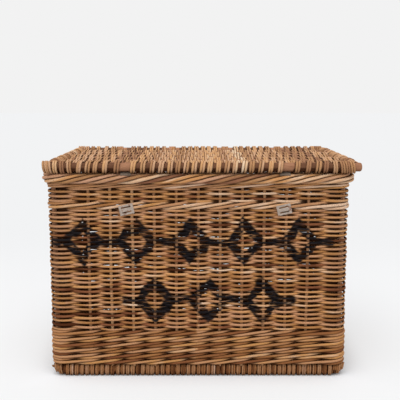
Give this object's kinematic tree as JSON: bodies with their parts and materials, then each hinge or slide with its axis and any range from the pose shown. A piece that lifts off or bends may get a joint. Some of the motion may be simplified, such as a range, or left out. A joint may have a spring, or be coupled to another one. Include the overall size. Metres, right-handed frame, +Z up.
{
  "type": "wicker laundry hamper",
  "caption": "Large rectangular woven wicker hamper with waled bands, a plaited rim, bow handles and a flat woven lid hinged along the back by cane loops.",
  "frame": {"origin": "on the floor, in the middle of the footprint of the whole hamper", "axes": "+Z up, +X along the width, the front with the strap plates faces -Y and the lid's hinges are at +Y"},
  "size_m": [0.956, 0.607, 0.6395],
  "materials": {
    "wicker": "aged varnished rattan weave",
    "wale": "aged varnished rattan, waled",
    "cane": "worn cane",
    "pole": "peeled cane pole, satin",
    "plate": "dull weathered metal",
    "leather": "worn leather"
  },
  "bodies": {
    "basket": {"base_front_pole": "pole", "base_back_pole": "pole", "base_left_pole": "pole", "base_right_pole": "pole", "base_stick_1": "pole", "base_stick_2": "pole", "base_stick_3": "pole", "base_stick_4": "pole", "base_stick_5": "pole", "base_weave": "wicker", "foot_wale": "wale", "lower_randing": "wicker", "mid_wale": "wale", "upper_randing": "wicker", "top_wale": "wale", "rim_border": "cane", "corner_post_front_left": "pole", "corner_post_front_right": "pole", "corner_post_back_left": "pole", "corner_post_back_right": "pole", "keeper_plate_left": "plate", "backing_plate_left": "plate", "rim_saddle_left": "leather", "keeper_plate_right": "plate", "backing_plate_right": "plate", "rim_saddle_right": "leather", "hinge_loop_1": "cane", "hinge_loop_2": "cane", "hinge_loop_3": "cane", "hinge_loop_4": "cane", "handle_left": "cane", "handle_right": "cane"},
    "lid": {"lid_front_pole": "pole", "lid_back_pole": "pole", "lid_left_pole": "pole", "lid_right_pole": "pole", "lid_stick_1": "pole", "lid_stick_2": "pole", "lid_stick_3": "pole", "lid_stick_4": "pole", "lid_stick_5": "pole", "lid_weave": "wicker", "lid_lashing_front_left": "cane", "lid_lashing_front_right": "cane", "lid_lashing_back_left": "cane", "lid_lashing_back_right": "cane"}
  },
  "joints": [
    {"name": "lid_hinge", "type": "hinge", "parent": "basket", "child": "lid", "pos_m": [0, 0.285, 0.621], "axis": [-1, 0, 0], "range_deg": [0, 110]}
  ]
}
